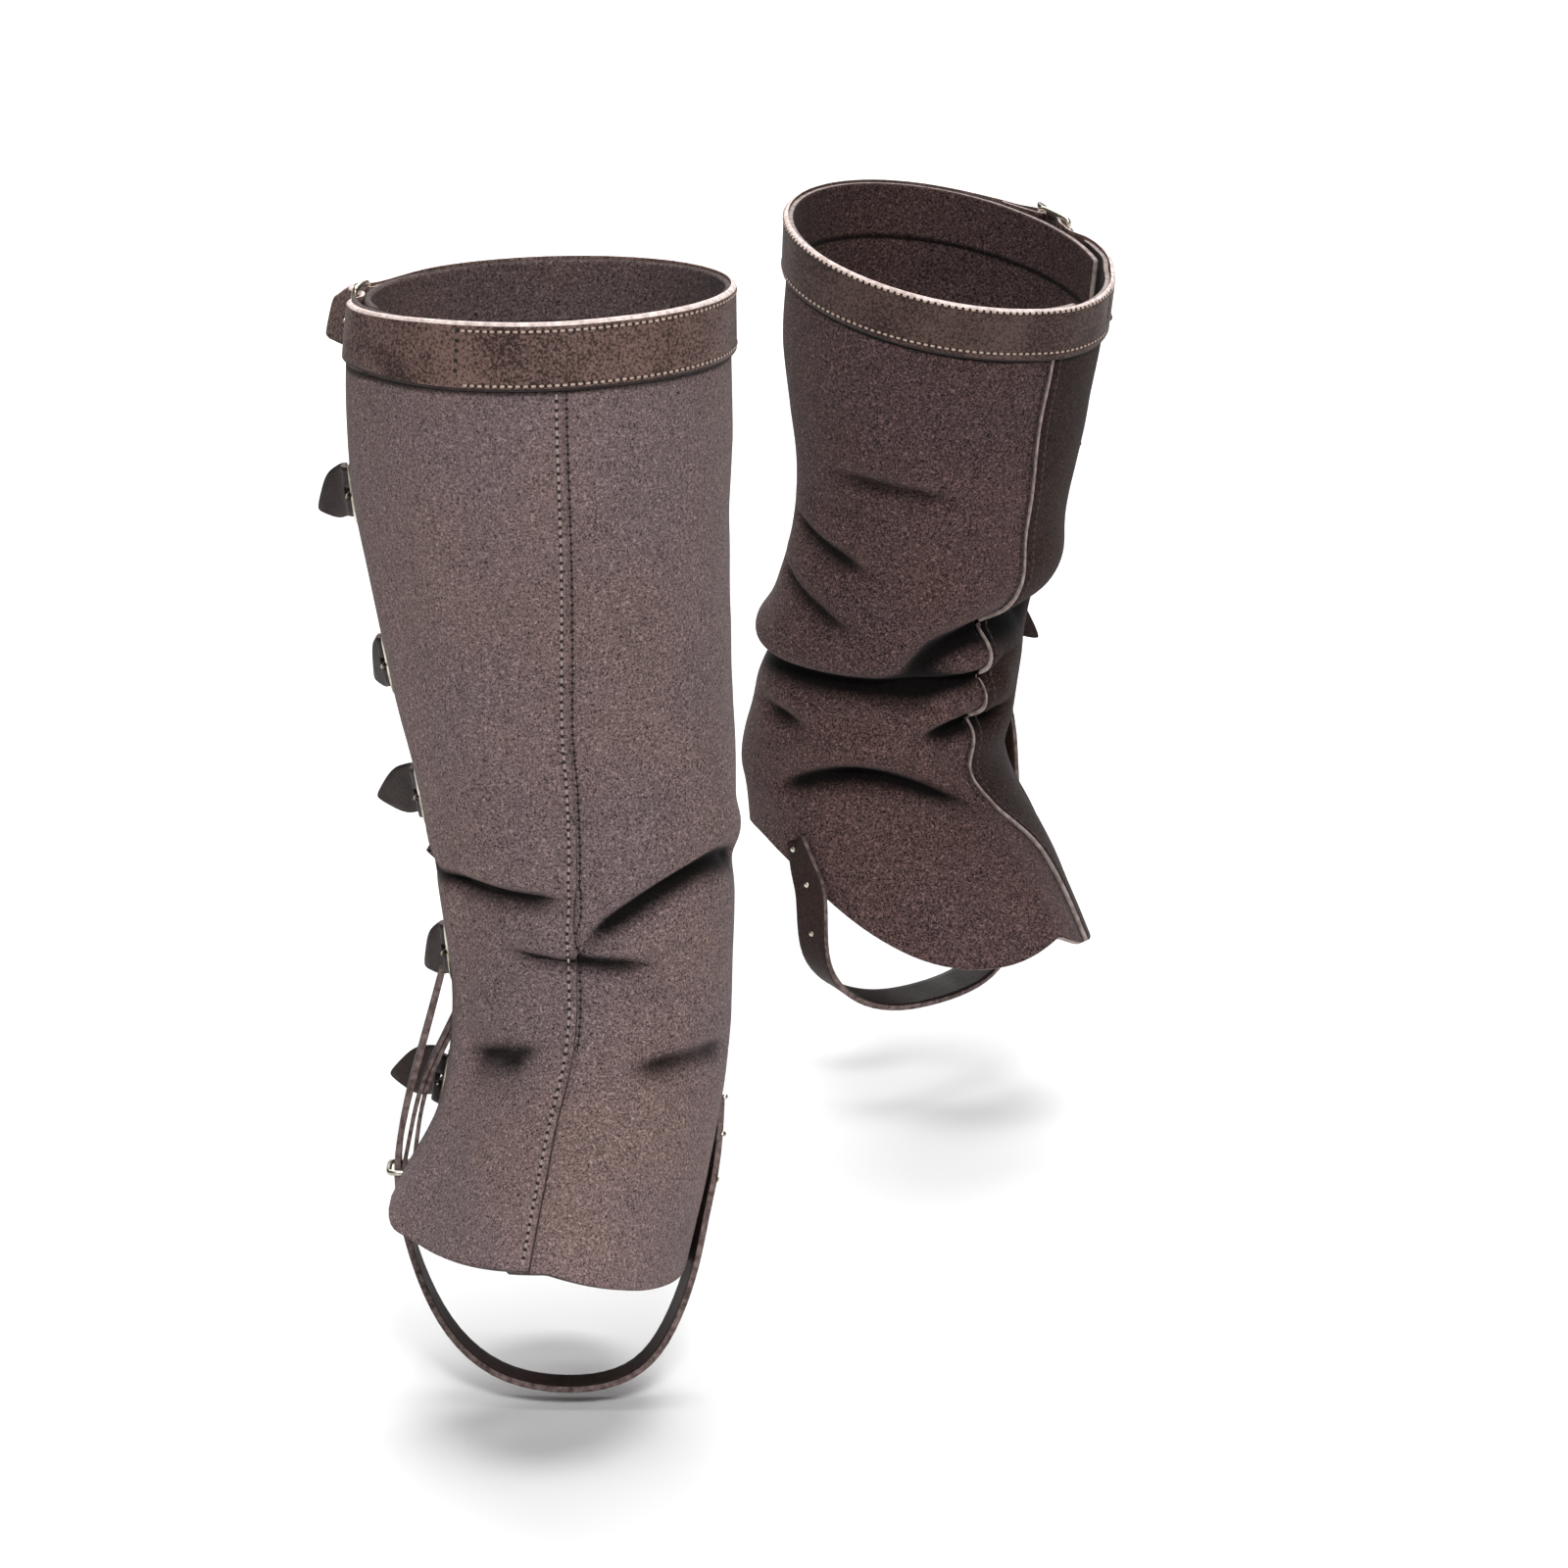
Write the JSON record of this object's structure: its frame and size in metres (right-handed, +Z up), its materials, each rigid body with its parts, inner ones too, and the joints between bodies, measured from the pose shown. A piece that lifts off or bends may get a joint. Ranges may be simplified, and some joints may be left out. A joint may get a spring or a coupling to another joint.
{
  "type": "pair of boot covers",
  "caption": "Pair of worn suede leather gaiters for boots, each with a stitched top band, buckled side straps and a strap under the foot.",
  "frame": {"origin": "middle of the near gaiter's top opening, where the leg comes out", "axes": "+Z up along the legs, -Y the way the near gaiter's front faces, +X to the side on which the far gaiter stands"},
  "size_m": [0.3186, 0.5738, 0.4227],
  "materials": {
    "suede": "napped suede, taupe grey-brown",
    "band_leather": "smooth oiled leather, warm brown",
    "strap_leather": "smooth leather, dark reddish brown",
    "nickel": "worn antique nickel"
  },
  "bodies": {
    "root": {"near_outer_panel": "suede", "near_inner_panel": "suede", "near_top_band": "band_leather", "near_strap_2": "strap_leather", "near_strap_3": "strap_leather", "near_strap_4": "strap_leather", "near_strap_5": "strap_leather", "near_strap_6": "strap_leather", "near_chape_2": "strap_leather", "near_chape_3": "strap_leather", "near_chape_4": "strap_leather", "near_chape_5": "strap_leather", "near_chape_6": "strap_leather", "near_buckle_1": "nickel", "near_buckle_2": "nickel", "near_buckle_3": "nickel", "near_buckle_4": "nickel", "near_buckle_5": "nickel", "near_buckle_6": "nickel", "near_prong_1": "nickel", "near_prong_2": "nickel", "near_prong_3": "nickel", "near_prong_4": "nickel", "near_prong_5": "nickel", "near_prong_6": "nickel", "near_stirrup_strap": "strap_leather", "near_stirrup_ring": "nickel", "near_stirrup_chape": "strap_leather", "far_outer_panel": "suede", "far_inner_panel": "suede", "far_top_band": "band_leather", "far_strap_2": "strap_leather", "far_strap_3": "strap_leather", "far_strap_4": "strap_leather", "far_strap_5": "strap_leather", "far_strap_6": "strap_leather", "far_chape_2": "strap_leather", "far_chape_3": "strap_leather", "far_chape_4": "strap_leather", "far_chape_5": "strap_leather", "far_chape_6": "strap_leather", "far_buckle_1": "nickel", "far_buckle_2": "nickel", "far_buckle_3": "nickel", "far_buckle_4": "nickel", "far_buckle_5": "nickel", "far_buckle_6": "nickel", "far_prong_1": "nickel", "far_prong_2": "nickel", "far_prong_3": "nickel", "far_prong_4": "nickel", "far_prong_5": "nickel", "far_prong_6": "nickel", "far_stirrup_strap": "strap_leather", "far_stirrup_ring": "nickel", "far_stirrup_chape": "strap_leather"}
  },
  "joints": []
}
